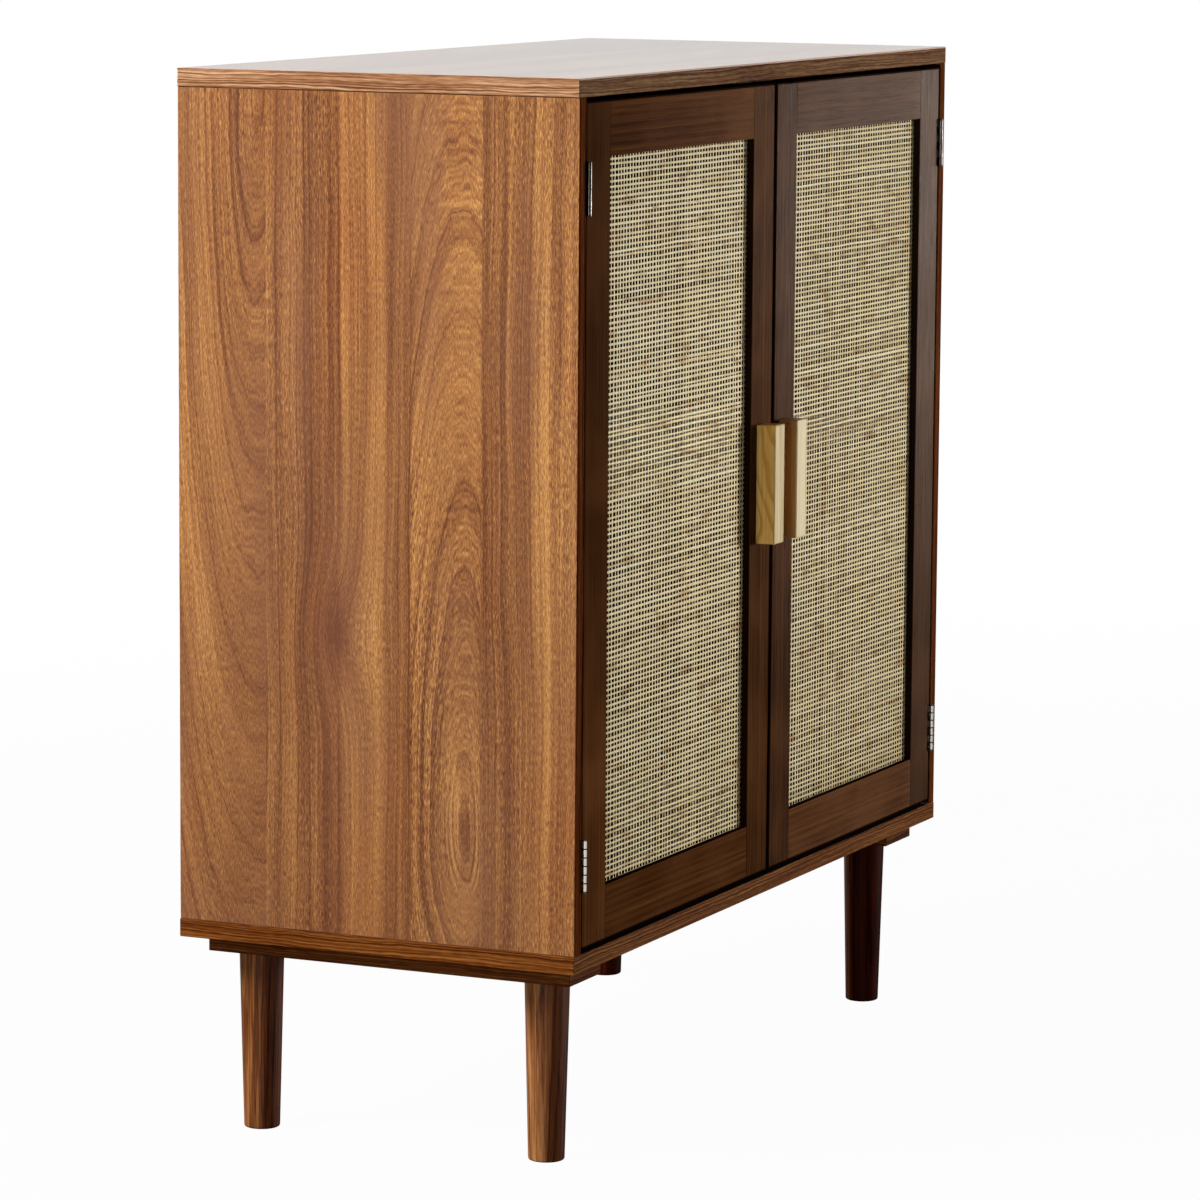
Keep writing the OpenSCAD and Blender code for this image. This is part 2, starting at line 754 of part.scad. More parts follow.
on_left() pull();  // left_pull
on_left() pull_screws();  // left_pull_screws
on_left() door_leaf(hinge_zs[1]);  // left_upper_door_leaf
on_left() door_leaf(hinge_zs[0]);  // left_lower_door_leaf
on_left() strike_plate();  // left_strike_plate
on_left() door_small_screws();  // left_door_small_screws
hinge_stile();  // right_hinge_stile
meeting_stile();  // right_meeting_stile
top_rail();  // right_top_rail
bottom_rail();  // right_bottom_rail
frame_dowels();  // right_frame_dowels
cane_panel();  // right_cane_panel
cane_beads();  // right_cane_beads
pull();  // right_pull
pull_screws();  // right_pull_screws
door_leaf(hinge_zs[1]);  // right_upper_door_leaf
door_leaf(hinge_zs[0]);  // right_lower_door_leaf
strike_plate();  // right_strike_plate
door_small_screws();  // right_door_small_screws
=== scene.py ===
"""Two-door storage cabinet in walnut laminate, with dark walnut door frames, woven cane panels,
oak pulls, nickel hinges and tapered legs. All lengths are in metres."""

import math

import bpy
import numpy as np
from mathutils import Matrix, Vector


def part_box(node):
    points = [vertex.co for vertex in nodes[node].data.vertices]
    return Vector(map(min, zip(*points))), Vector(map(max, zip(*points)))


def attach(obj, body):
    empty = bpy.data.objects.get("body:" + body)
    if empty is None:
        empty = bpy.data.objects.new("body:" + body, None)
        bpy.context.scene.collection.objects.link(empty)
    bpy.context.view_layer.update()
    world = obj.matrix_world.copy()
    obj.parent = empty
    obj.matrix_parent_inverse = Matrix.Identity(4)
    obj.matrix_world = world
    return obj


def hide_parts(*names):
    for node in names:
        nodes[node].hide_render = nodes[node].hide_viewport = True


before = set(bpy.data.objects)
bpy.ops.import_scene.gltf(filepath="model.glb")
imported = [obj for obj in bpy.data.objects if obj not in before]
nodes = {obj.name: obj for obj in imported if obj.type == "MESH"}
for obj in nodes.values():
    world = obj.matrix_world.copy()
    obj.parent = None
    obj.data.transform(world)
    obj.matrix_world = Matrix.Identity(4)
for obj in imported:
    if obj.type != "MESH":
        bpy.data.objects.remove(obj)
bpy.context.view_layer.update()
scene = bpy.context.scene

SIDES = ("left", "right")
WHITE = (1, 1, 1, 1)


# Camera

CAMERA_PLACE = Vector((-4.284816, -1.962880, 1.071454))
CAMERA_YAW = math.radians(65.4946)
CAMERA_PITCH = math.radians(7.9792)
CAMERA_ROLL = math.radians(0.4181)
CAMERA_LENS = 163.236


def make_camera():
    """The camera looks along yaw and pitch, and is rolled about its line of sight."""
    ahead = Vector((math.sin(CAMERA_YAW) * math.cos(CAMERA_PITCH),
                    math.cos(CAMERA_YAW) * math.cos(CAMERA_PITCH),
                    -math.sin(CAMERA_PITCH)))
    level = ahead.cross(Vector((0, 0, 1))).normalized()
    rise = level.cross(ahead)
    right = math.cos(CAMERA_ROLL) * level + math.sin(CAMERA_ROLL) * rise
    up = math.cos(CAMERA_ROLL) * rise - math.sin(CAMERA_ROLL) * level
    lens = bpy.data.cameras.new("camera")
    lens.sensor_width = 36
    lens.lens = CAMERA_LENS
    lens.clip_start = 0.1
    lens.clip_end = 100
    camera = bpy.data.objects.new("camera", lens)
    scene.collection.objects.link(camera)
    turn = Matrix((right, up, -ahead)).transposed().to_4x4()
    camera.matrix_world = Matrix.Translation(CAMERA_PLACE) @ turn
    scene.camera = camera


make_camera()


# Colours and nodes

def tone(red, green, blue):
    """A screen colour from 0 to 255 as the linear colour that a shader takes."""
    part = np.array((red, green, blue)) / 255
    linear = np.where(part <= 0.04045, part / 12.92, ((part + 0.055) / 1.055) ** 2.4)
    return (*linear.tolist(), 1.0)


def add_node(tree, kind, inputs=None, **settings):
    """A new node. inputs has, for each input, a value or another node's output to link."""
    made = tree.nodes.new(kind)
    for key, value in settings.items():
        setattr(made, key, value)
    for key, value in (inputs or {}).items():
        if isinstance(value, bpy.types.NodeSocket):
            tree.links.new(value, made.inputs[key])
        else:
            made.inputs[key].default_value = value
    return made


class Finish:
    """A material's nodes. Each short call adds one or a few and gives back the output socket."""

    def __init__(self, name):
        self.material = bpy.data.materials.new(name)
        self.material.use_nodes = True
        self.tree = self.material.node_tree
        self.tree.nodes.clear()
        here = self.node("ShaderNodeTexCoord")
        self.x, self.y, self.z = self.split(here.outputs["Object"])
        self.facing = self.split(here.outputs["Normal"])

    def node(self, kind, inputs=None, **settings):
        return add_node(self.tree, kind, inputs, **settings)

    def calc(self, operation, *values):
        inputs = dict(enumerate(values))
        return self.node("ShaderNodeMath", inputs, operation=operation).outputs[0]

    def split(self, vector):
        return self.node("ShaderNodeSeparateXYZ", {0: vector}).outputs

    def join(self, x=0.0, y=0.0, z=0.0):
        return self.node("ShaderNodeCombineXYZ", {0: x, 1: y, 2: z}).outputs[0]

    def stretch(self, x, y, z, scale):
        """The point (x, y, z) with each coordinate times its own scale."""
        parts = [self.times(value, size) for value, size in zip((x, y, z), scale)]
        return self.join(*parts)

    def noise(self, vector, detail=2.0, roughness=0.5):
        inputs = {"Vector": vector, "Scale": 1.0, "Detail": detail, "Roughness": roughness}
        return self.node("ShaderNodeTexNoise", inputs).outputs[0]

    def chance(self, value):
        """A random number from 0 to 1 for each value."""
        return self.node("ShaderNodeTexWhiteNoise", {"W": value}, noise_dimensions="1D").outputs[0]

    def span(self, value, low, high, to_low=0.0, to_high=1.0, kind="LINEAR"):
        """The value's place from low to high, as a number from to_low to to_high."""
        inputs = {0: value, 1: low, 2: high, 3: to_low, 4: to_high}
        return self.node("ShaderNodeMapRange", inputs, interpolation_type=kind, clamp=True).outputs[0]

    def ramp(self, value, stops, kind="LINEAR"):
        """A colour by value. Places are set before colours, since Blender sorts by place."""
        made = self.node("ShaderNodeValToRGB", {0: value})
        band = made.color_ramp
        band.interpolation = kind
        while len(band.elements) < len(stops):
            band.elements.new(0.5)
        for element, (place, _) in zip(band.elements, stops):
            element.position = place
        for element, (_, colour) in zip(band.elements, stops):
            element.color = colour
        return made.outputs[0]

    def mix(self, share, first, second, kind="MIX"):
        inputs = {0: share, 6: first, 7: second}
        return self.node("ShaderNodeMix", inputs, data_type="RGBA", blend_type=kind).outputs[2]

    def tint(self, colour, by, share=None):
        """A colour times another one, wholly or as far as share says."""
        tinted = self.mix(1.0, colour, by, "MULTIPLY")
        return tinted if share is None else self.mix(share, colour, tinted)

    def choose(self, share, first, second):
        """The first number where share is 0, the second where it is 1."""
        return self.node("ShaderNodeMix", {0: share, 2: first, 3: second}).outputs[0]

    def times(self, *values):
        total = values[0]
        for value in values[1:]:
            total = self.calc("MULTIPLY", total, value)
        return total

    def sum(self, *values):
        total = values[0]
        for value in values[1:]:
            total = self.calc("ADD", total, value)
        return total

    def swing(self, value, amount, middle=0.5):
        """The value's distance from its middle, times an amount."""
        return self.times(self.calc("SUBTRACT", value, middle), amount)

    def on_right(self):
        """1 in the right half of the cabinet and 0 in the left."""
        return self.calc("GREATER_THAN", self.x, 0.0)

    def finish(self, colour, roughness, height, depth, **sockets):
        """Closes the graph with a shader. Its bump is height times depth in metres."""
        inputs = {"Base Color": colour, "Roughness": roughness}
        inputs.update({key.replace("_", " "): value for key, value in sockets.items()})
        bump = {"Height": height, "Distance": depth, "Strength": 1.0}
        inputs["Normal"] = self.node("ShaderNodeBump", bump).outputs[0]
        self.close(self.node("ShaderNodeBsdfPrincipled", inputs).outputs[0])
        return self.material

    def close(self, shader):
        out = self.node("ShaderNodeOutputMaterial")
        self.tree.links.new(shader, out.inputs[0])


def by_place(g, value, pairs, kind, reach):
    """A number that depends on a place from -reach to reach, from (place, number) pairs."""
    low = min(number for place, number in pairs)
    high = max(number for place, number in pairs)
    stops = []
    for place, number in pairs:
        share = (number - low) / (high - low)
        stops.append((min(max(place / (2 * reach) + 0.5, 0), 1), (share, share, share, 1)))
    ramp = g.ramp(g.calc("MULTIPLY_ADD", value, 0.5 / reach, 0.5), stops, kind)
    return g.span(ramp, 0, 1, low, high)


# Walnut laminate

# Printed planks across a board. Each has: where it starts, the middle of its rings across the
# board and along it, how much they are drawn out above and below it, how far apart they lie, and
# how strong its lines and its flecks are
PLANKS = (
    (-1.0000, -0.360, 0.40, 0.030, 0.030, 0.0085, 0.82, 0.95),
    (-0.0875, -0.071, 0.27, 0.130, 0.280, 0.0095, 1.20, 1.15),
    (-0.0250, -0.210, 0.60, 0.020, 0.020, 0.0110, 0.70, 0.40),
    (0.0400, 0.300, 0.42, 0.030, 0.030, 0.0062, 0.85, 0.90),
    (0.1065, 0.114, 0.88, 0.120, 0.135, 0.0062, 0.90, 0.80),
)
PLANK_REACH = 0.3
# How much lighter or darker the print is than its middle tone, by place across the board
STRIPES = (
    (-0.172, 0.05), (-0.150, 0.05), (-0.138, 0.17), (-0.128, 0.05), (-0.115, -0.10), (-0.0895, -0.20),
    (-0.0855, 0.12), (-0.060, 0.12), (-0.027, 0.09), (-0.023, -0.06), (-0.010, -0.09), (0.004, 0.02),
    (0.020, 0.13), (0.038, 0.05), (0.042, -0.16), (0.070, -0.10), (0.104, -0.03), (0.109, -0.06),
    (0.135, -0.02), (0.165, 0.07), (0.185, 0.05),
)
STRIPE_REACH = 0.2
# Knots: place across and along, and how far the lines swerve round it
KNOTS = ((0.044, 0.430, 0.018), (-0.071, 0.270, 0.0))
# How fast a knot's swerve and its dark middle fade across and along the grain
SWERVE_FADE = (-1100, -330)
DARK_FADE = (-9000, -1600)
# Where a ring's dark line lies between the ring's start, 0, and its end, 1
LINE = 0.92
WALNUT = (
    (0.00, tone(104, 62, 40)),
    (0.25, tone(130, 82, 52)),
    (0.50, tone(157, 104, 64)),
    (0.75, tone(187, 130, 76)),
    (1.00, tone(219, 161, 96)),
)


def spot(g, across, along, fade):
    """1 at a point and less around it: exp(fade across * across^2 + fade along * along^2)."""
    return g.calc("EXPONENT", g.sum(g.times(across, across, fade[0]), g.times(along, along, fade[1])))


def laminate(g, across, along, seed=0.0):
    """Printed walnut planks side by side. The rings of a plank are drawn-out ellipses round its
    middle: radius = sqrt(across^2 + (draw * along)^2), bent a little by slow noise and swerving
    round knots. Lines, bands and fibres follow the radius, and grit follows the board. A line
    lies gap = (part - LINE) * spacing / steep away, where steep is the radius's slope."""
    starts, *columns = zip(*PLANKS)
    middle_across, middle_along, draw_above, draw_below, spacing, line_share, fleck_share = (
        by_place(g, across, list(zip(starts, column)), "CONSTANT", PLANK_REACH) for column in columns)

    def cloud(shift, wide, long):
        """Noise on the board, with its turns per metre across and along it."""
        return g.noise(g.stretch(across, along, seed + shift, (wide, long, 1)), 2)

    bend = g.sum(g.swing(cloud(0.0, 9, 2.2), 0.020), g.swing(cloud(0.0, 60, 12), 0.0035))
    apart = g.sum(g.calc("SUBTRACT", across, middle_across), bend)
    dark = 0.0
    for place, height, swerve in KNOTS:
        near = (g.calc("SUBTRACT", across, place), g.calc("SUBTRACT", along, height))
        apart = g.sum(apart, g.times(spot(g, *near, SWERVE_FADE), -swerve))
        dark = g.sum(g.times(spot(g, *near, DARK_FADE), -0.30), dark)
    up = g.sum(g.calc("SUBTRACT", along, middle_along), g.swing(cloud(6.0, 60, 9), 0.035))
    draw = g.choose(g.calc("GREATER_THAN", up, 0.0), draw_below, draw_above)
    drawn = g.times(up, draw)
    radius = g.calc("SQRT", g.sum(g.times(apart, apart), g.times(drawn, drawn)))
    slow = g.times(drawn, draw)
    steep = g.calc("DIVIDE", g.calc("SQRT", g.sum(g.times(apart, apart), g.times(slow, slow))), radius)

    def grain(shift, wide, long, detail=2.0, roughness=0.6):
        """Noise that follows the rings, with its turns per metre across and along them."""
        place = g.join(g.times(radius, wide), seed + shift, g.times(along, long))
        return g.noise(place, detail, roughness)

    # Lines at the rings, each of its own strength
    turn = g.calc("DIVIDE", radius, spacing)
    turn = g.sum(turn, g.swing(g.noise(g.join(turn, seed, 3.1), 2), 1.5))
    part = g.calc("FRACT", turn)
    soft = g.times(g.span(part, 0.60, LINE, kind="SMOOTHSTEP"), g.span(part, LINE, 1.0, 1, 0))
    gap = g.calc("DIVIDE", g.times(g.calc("SUBTRACT", part, LINE), spacing), steep)
    thin = g.times(g.span(gap, -0.0015, -0.0003), g.span(gap, 0.0001, 0.0007, 1, 0))
    late = g.calc("MAXIMUM", thin, g.times(soft, 0.4))
    strength = g.span(g.chance(g.sum(g.calc("FLOOR", turn), seed)), 0, 1, -0.04, -0.36)

    # Bands, fibres and flecks, which are weaker where the rings run across the plank
    lean = g.calc("DIVIDE", apart, radius)
    flank = g.span(g.calc("ABSOLUTE", lean), 0.35, 0.85, 0.25, 1.0)
    fibre = grain(0.0, 620, 5)
    shine = g.span(cloud(5.0, 20, 4), 0.40, 0.65, 0.55, 1.25)
    fleck = g.times(g.swing(grain(3.0, 1300, 140, 1), 1.5), shine, fleck_share,
                    g.calc("MAXIMUM", flank, 0.6))
    limb = g.times(g.span(grain(8.0, 62, 0.0, 1, 0.5), 0.52, 0.64), g.span(lean, 0.30, 0.75))
    lines = g.sum(g.times(late, strength), g.times(g.swing(grain(0.0, 300, 1.4), 0.60), flank),
                  g.times(g.swing(fibre, 1.00), flank))
    grit = g.noise(g.stretch(apart, along, seed + 7.0, (1500, 230, 1)), 2, 0.6)
    shade = g.sum(0.50, by_place(g, across, STRIPES, "LINEAR", STRIPE_REACH), dark,
                  g.times(lines, line_share), g.times(g.swing(grain(2.0, 75, 1.2, 2, 0.5), 0.95), flank),
                  g.swing(cloud(0.0, 14, 3.2), 0.44), g.swing(grit, 1.40),
                  g.times(limb, fleck_share, 0.24), fleck)

    # Colour, with dusky and warm clouds and dark pores
    colour = g.ramp(shade, WALNUT)
    dusk = g.span(cloud(12.0, 15, 2.6), 0.44, 0.66)
    colour = g.mix(g.times(dusk, 0.34), colour, tone(143, 97, 75))
    warm = g.span(cloud(9.0, 12, 2.5), 0.5, 0.72)
    colour = g.mix(g.times(warm, 0.18), colour, tone(186, 112, 54), "SOFT_LIGHT")
    pore = g.span(grain(11.0, 1300, 62, 2, 0.5), 0.60, 0.74)
    colour = g.mix(g.times(pore, 0.38), colour, tone(92, 54, 32))
    return colour, g.sum(g.times(pore, -0.6), g.times(fibre, 0.4))


BAND_LINES = 370  # dark lines per metre of an edge band
BAND_WALNUT = (
    (0.00, tone(108, 66, 42)),
    (0.35, tone(153, 104, 70)),
    (0.65, tone(184, 136, 98)),
    (1.00, tone(222, 180, 142)),
)


def edge_band(g, along, across, seed=0.0):
    """Edge band: thin dark lines along the edge at an uneven pitch, bent by slow noise, over
    streaks drawn out along it."""
    wave = g.sum(g.swing(g.noise(g.stretch(along, across, seed, (9, 25, 1)), 1), 0.006),
                 g.swing(g.noise(g.stretch(along, across, seed + 1.0, (40, 110, 1)), 2), 0.0022))
    bent = g.sum(across, wave)
    turn = g.times(bent, BAND_LINES)
    turn = g.sum(turn, g.swing(g.noise(g.join(turn, seed, 2.3), 2), 1.6))
    part = g.calc("FRACT", turn)
    strength = g.span(g.chance(g.sum(g.calc("FLOOR", turn), seed)), 0, 1, -0.15, -0.75)
    late = g.times(g.span(part, 0.30, 0.80, kind="SMOOTHSTEP"), g.span(part, 0.80, 1.0, 1, 0), strength)
    lines = g.noise(g.stretch(along, bent, seed, (8, 620, 1)), 2, 0.6)
    broad = g.noise(g.stretch(along, bent, seed + 4.0, (5, 190, 1)), 2)
    fleck = g.noise(g.stretch(along, bent, seed + 8.0, (80, 1100, 1)), 2)
    shade = g.sum(0.63, late, g.swing(lines, 1.5), g.swing(broad, 0.8), g.swing(fleck, 1.0))
    return g.ramp(shade, BAND_WALNUT), lines


PRINT_HALF = 0.172  # half the width of the print, which is repeated across the back panel
PRINT_SHIFT = 0.23  # how much lower the print lies on the right side panel than on the left
CABINET_MIDDLE = 0.52  # height of the middle of the inside
DOOR_BACK = -0.152  # boards are beside the doors in front of this
CREST = 0.0012  # height of the painted highlight line along the top of the front band


def board_finish(name, thin, seed=0.0, face=(1, 1, 1), edge=(1, 1, 1), front=None, crest=None,
                 rough=0.40, gloss=0.3, coat=0.0, edge_gloss=0.02):
    """Laminate on a board's faces and bands on its edges. thin is the axis of its thickness, and
    the grain runs upright, or from side to side on a lying board. face, edge and front tint the
    faces, the bands and the bands at the front, and crest is the height of a painted highlight, a
    pale line along the top of the front band. Painted shade: faces that look into the cabinet are
    darker, and nearly black beside the doors, and an upright side is darker towards the floor and
    towards the top."""
    g = Finish(name)
    face_x, face_y, face_z = (g.calc("ABSOLUTE", part) for part in g.facing)
    if thin == "x":
        colour, height = laminate(g, g.y, g.calc("MULTIPLY_ADD", g.on_right(), PRINT_SHIFT, g.z), seed)
        band, band_height = edge_band(g, g.z, g.x, seed)
        is_edge = g.calc("LESS_THAN", face_x, 0.9)
    elif thin == "y":
        colour, height = laminate(g, g.calc("WRAP", g.x, PRINT_HALF, -PRINT_HALF), g.z, seed)
        band, band_height = edge_band(g, g.z, g.y, seed)
        is_edge = g.calc("LESS_THAN", face_y, 0.9)
    else:
        colour, height = laminate(g, g.y, g.x, seed)
        ends, ends_height = edge_band(g, g.y, g.z, seed)
        fore, fore_height = edge_band(g, g.x, g.z, seed + 2.0)
        is_end = g.calc("GREATER_THAN", face_x, 0.6)
        band = g.mix(is_end, fore, ends)
        band_height = g.choose(is_end, fore_height, ends_height)
        is_edge = g.calc("LESS_THAN", face_z, 0.9)
    colour = g.tint(colour, (*face, 1))
    if thin == "x":
        # Painted shade: an upright side is darker towards the floor and towards the top
        colour = g.tint(colour, (0.85, 0.84, 0.84, 1), g.span(g.z, 0.18, 0.70, 1.0, 0.0))
        colour = g.tint(colour, (0.94, 0.94, 0.94, 1), g.span(g.z, 0.60, 0.88))
    # Painted shade: faces that look into the cabinet are darker, and nearly black beside the doors
    offset = (g.x, g.y, g.calc("SUBTRACT", g.z, CABINET_MIDDLE))
    inward = g.sum(*(g.times(part, way, -1.0) for part, way in zip(offset, g.facing)))
    beside_door = g.calc("LESS_THAN", g.y, DOOR_BACK)
    shaded = g.mix(beside_door, (0.30, 0.21, 0.13, 1), (0.04, 0.03, 0.02, 1))
    colour = g.tint(colour, shaded, g.calc("GREATER_THAN", inward, 0.05))
    band_tint = (*edge, 1)
    if front is not None:
        is_front = g.calc("LESS_THAN", g.facing[1], -0.6)
        band_tint = g.mix(is_front, band_tint, (*front, 1))
    band = g.tint(band, band_tint)
    if crest is not None:
        # Painted highlight: a pale line along the top of the front band
        edge_highlight = g.times(is_front, g.calc("GREATER_THAN", g.z, crest - CREST))
        band = g.mix(g.times(edge_highlight, 0.85), band, tone(236, 200, 178))
    return g.finish(g.mix(is_edge, colour, band), rough, g.choose(is_edge, height, band_height), 0.00008,
                    Coat_Roughness=rough, Coat_Weight=g.choose(is_edge, coat, 0.0),
                    Specular_IOR_Level=g.choose(is_edge, gloss, edge_gloss))


# Solid wood

def timber(g, axis, heart, apart, colours, contrast=1.0, seed=0.0, fibre_size=700, slow=1.0,
           streak_size=240, fine=1.0):
    """Solid wood: rings round a heart line along one axis, with radius bent by slow noise, then
    bands, fibres and pores drawn out along the grain."""
    places = [g.x, g.y, g.z]
    along = places.pop(axis)
    first, second = places
    bend = g.swing(g.noise(g.stretch(first, second, along, (14, 14, 1.6 * slow)), 2), 0.024)
    a = g.sum(first, -heart[0], bend)
    b = g.sum(second, -heart[1])
    radius = g.calc("SQRT", g.sum(g.times(a, a), g.times(b, b)))
    turn = g.calc("DIVIDE", radius, apart)
    turn = g.sum(turn, g.swing(g.noise(g.join(turn, seed, 1.7), 2), 1.4))
    part = g.calc("FRACT", turn)
    late = g.times(g.span(part, 0.4, 0.92, kind="SMOOTHSTEP"), g.span(part, 0.92, 1, 1, 0))
    band = g.noise(g.join(g.times(radius, 80), seed, g.times(along, 0.8)), 3)
    fibre = g.noise(g.stretch(first, second, along, (fibre_size, fibre_size, 18)), 4, 0.65)
    streak = g.noise(g.stretch(first, second, along, (streak_size, streak_size, 5)), 3, 0.6)
    shade = g.sum(0.5, g.swing(band, 0.8 * contrast), g.times(late, -0.25 * contrast),
                  g.swing(fibre, 0.45 * contrast * fine), g.swing(streak, 0.5 * contrast * fine))
    pore = g.span(g.noise(g.stretch(first, second, along, (1500, 1500, 55)), 2), 0.60, 0.74)
    return g.ramp(shade, colours), pore, fibre


(_, _, door_foot), (_, _, door_head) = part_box("left_hinge_stile")
SHADE_RIM = 0.0016  # width of the painted shade rim at a door's foot and head
GAP_SHADE_RIM = 0.0040  # reach of the painted shade rims on both sides of the gap between the doors
HALF_WIDTH = 0.4
# How much painted sheen and how polished the door frames are, by place across the cabinet
PAINTED_SHEEN = (
    (-0.40, 0.0), (-0.30, 0.02), (-0.06, 0.19), (-0.002, 0.10), (0.002, 0.10), (0.06, 0.18),
    (0.32, 0.24), (0.345, 0.46), (0.40, 0.50),
)
POLISH = (
    (-0.40, 0.0), (-0.10, 0.006), (-0.002, 0.010), (0.002, 0.018), (0.06, 0.034), (0.32, 0.075),
    (0.345, 0.10), (0.40, 0.11),
)
FRAME_WALNUT = ((0.0, (45, 22, 8)), (0.4, (66, 36, 15)), (0.7, (84, 51, 24)), (1.0, (114, 78, 43)))


def frame_finish(name, axis, heart, light, streaks, seed, foot=(1, 1)):
    """Dark stained walnut of the door frames, with the grain along one axis. It is glossier
    towards the right and the top, and paler there, a painted sheen. Painted shade makes it nearly
    black on faces that look along the door and on narrow rims at the doors' foot and head and
    beside the gap between them. foot has how much paler the left and the right door's lower part
    is."""
    g = Finish(name)
    colours = [(place, tone(*(light * part for part in shade))) for place, shade in FRAME_WALNUT]
    colour, pore, fibre = timber(g, axis, heart, 0.006, colours, streaks, seed)
    slow = g.noise(g.stretch(g.x, g.y, g.z, (14, 14, 14)), 2)
    colour = g.mix(g.span(slow, 0.42, 0.68, 0.0, 0.45), colour, tone(92, 56, 30))
    # Painted sheen: paler towards the right and the top, and greyer on the right door
    painted_sheen = g.times(by_place(g, g.x, PAINTED_SHEEN, "LINEAR", HALF_WIDTH), g.span(g.z, 0.30, 0.82, 0.35, 1.0),
                   g.span(slow, 0.35, 0.65, 0.8, 1.2), g.span(fibre, 0.3, 0.7, 0.75, 1.25))
    colour = g.mix(painted_sheen, colour, g.mix(g.on_right(), tone(142, 96, 60), tone(124, 98, 78)))
    colour = g.mix(g.times(pore, 0.35), colour, tone(32, 15, 7))
    lift = g.choose(g.span(g.z, 0.28, 0.46, 1.0, 0.0), 1.0, g.choose(g.on_right(), *foot))
    colour = g.tint(colour, g.join(lift, lift, lift))
    # Painted shade: nearly black on faces that look along the door and on rims at the doors' foot, head
    # and middle gap
    frame_shade = g.calc("LESS_THAN", g.calc("ABSOLUTE", g.facing[1]), 0.7)
    rims = (g.calc("LESS_THAN", g.calc("ABSOLUTE", g.x), GAP_SHADE_RIM),
            g.calc("LESS_THAN", g.z, door_foot + SHADE_RIM),
            g.calc("GREATER_THAN", g.z, door_head - SHADE_RIM))
    for rim in rims:
        frame_shade = g.calc("MAXIMUM", frame_shade, rim)
    colour = g.mix(g.times(frame_shade, 0.88), colour, tone(12, 5, 3))
    height = g.sum(g.times(pore, -0.7), g.times(fibre, 0.35))
    polish = g.times(by_place(g, g.x, POLISH, "LINEAR", HALF_WIDTH), g.span(g.z, 0.25, 0.80, 0.2, 1.0),
                     g.calc("SUBTRACT", 1.0, frame_shade))
    return g.finish(colour, g.span(fibre, 0.3, 0.7, 0.24, 0.34), height, 0.00005,
                    Specular_IOR_Level=polish)


LEG_WALNUT = (
    (0.00, tone(70, 35, 14)),
    (0.35, tone(140, 86, 46)),
    (0.65, tone(186, 127, 77)),
    (1.00, tone(218, 162, 110)),
)


def leg_finish(name):
    """Walnut of the legs, with strong streaks along the leg. Painted shade darkens it at the front,
    on the back legs, and on the right legs but for their outer side, and there the right legs are
    also less glossy."""
    g = Finish(name)
    colour, pore, fibre = timber(g, 2, (0.30, -0.20), 0.0050, LEG_WALNUT, contrast=1.1,
                                 streak_size=560, fine=2.1)
    colour = g.mix(g.times(pore, 0.5), colour, tone(46, 22, 11))
    # Painted shade: faces towards the front, and the right legs but for their outer side, are darker
    right = g.times(g.on_right(), g.span(g.facing[0], 0.75, 0.35))
    stain_and_shade = g.calc("MAXIMUM", g.span(g.facing[1], -0.75, 0.25, 0.95, 0.0, kind="SMOOTHSTEP"),
                   g.times(right, 0.8))
    colour = g.tint(colour, (0.30, 0.172, 0.064, 1), stain_and_shade)
    # Painted shade: the back legs are darker, and the right legs darker still
    colour = g.tint(colour, (0.80, 0.72, 0.66, 1), g.calc("GREATER_THAN", g.y, 0.0))
    colour = g.tint(colour, (0.30, 0.12, 0.10, 1), g.times(right, g.span(g.facing[1], 0.55, 0.20)))
    height = g.sum(g.times(pore, -0.7), g.times(fibre, 0.35))
    return g.finish(colour, 0.42, height, 0.00010, Specular_IOR_Level=g.choose(right, 0.15, 0.04))


OAK = (
    (0.0, tone(184, 152, 94)),
    (0.4, tone(208, 185, 131)),
    (0.7, tone(220, 200, 148)),
    (1.0, tone(232, 220, 174)),
)


def oak_finish(name):
    """Pale oak of the pulls. The right pull is paler, a painted sheen. The left pull's sides have a
    richer tone than its faces, and the right pull's sides are much darker, a painted shadow of the
    left pull.
    """
    g = Finish(name)
    colour, pore, fibre = timber(g, 2, (0.045, -0.205), 0.0024, OAK, contrast=2.2, seed=4.0,
                                 fibre_size=900, slow=4.0)
    # Painted sheen: the right pull is paler
    colour = g.mix(g.times(g.on_right(), 0.5), colour, tone(238, 222, 180))
    # Sides: a richer tone on the left pull, and a painted shadow of the left pull on the right pull
    side_tone_and_shadow = g.mix(g.on_right(), (1.30, 1.02, 0.56, 1), (0.56, 0.36, 0.20, 1))
    colour = g.tint(colour, side_tone_and_shadow, g.calc("LESS_THAN", g.calc("ABSOLUTE", g.facing[1]), 0.5))
    colour = g.mix(g.times(pore, 0.3), colour, tone(150, 108, 58))
    height = g.sum(g.times(pore, -0.7), g.times(fibre, 0.3))
    return g.finish(colour, 0.45, height, 0.00008, Specular_IOR_Level=0.2)


# Cane, metal and the small parts

SPLIT_CANE = (
    (0.00, tone(168, 128, 70)),
    (0.25, tone(214, 186, 128)),
    (0.50, tone(236, 216, 166)),
    (0.75, tone(249, 236, 196)),
    (1.00, tone(255, 250, 226)),
)
# The cane's tint from left to right. The darker right is painted shade that evens out the stronger front
# light there
CANE_LEFT = (1.0, 0.915, 0.72, 1)
CANE_RIGHT = (0.82, 0.735, 0.555, 1)


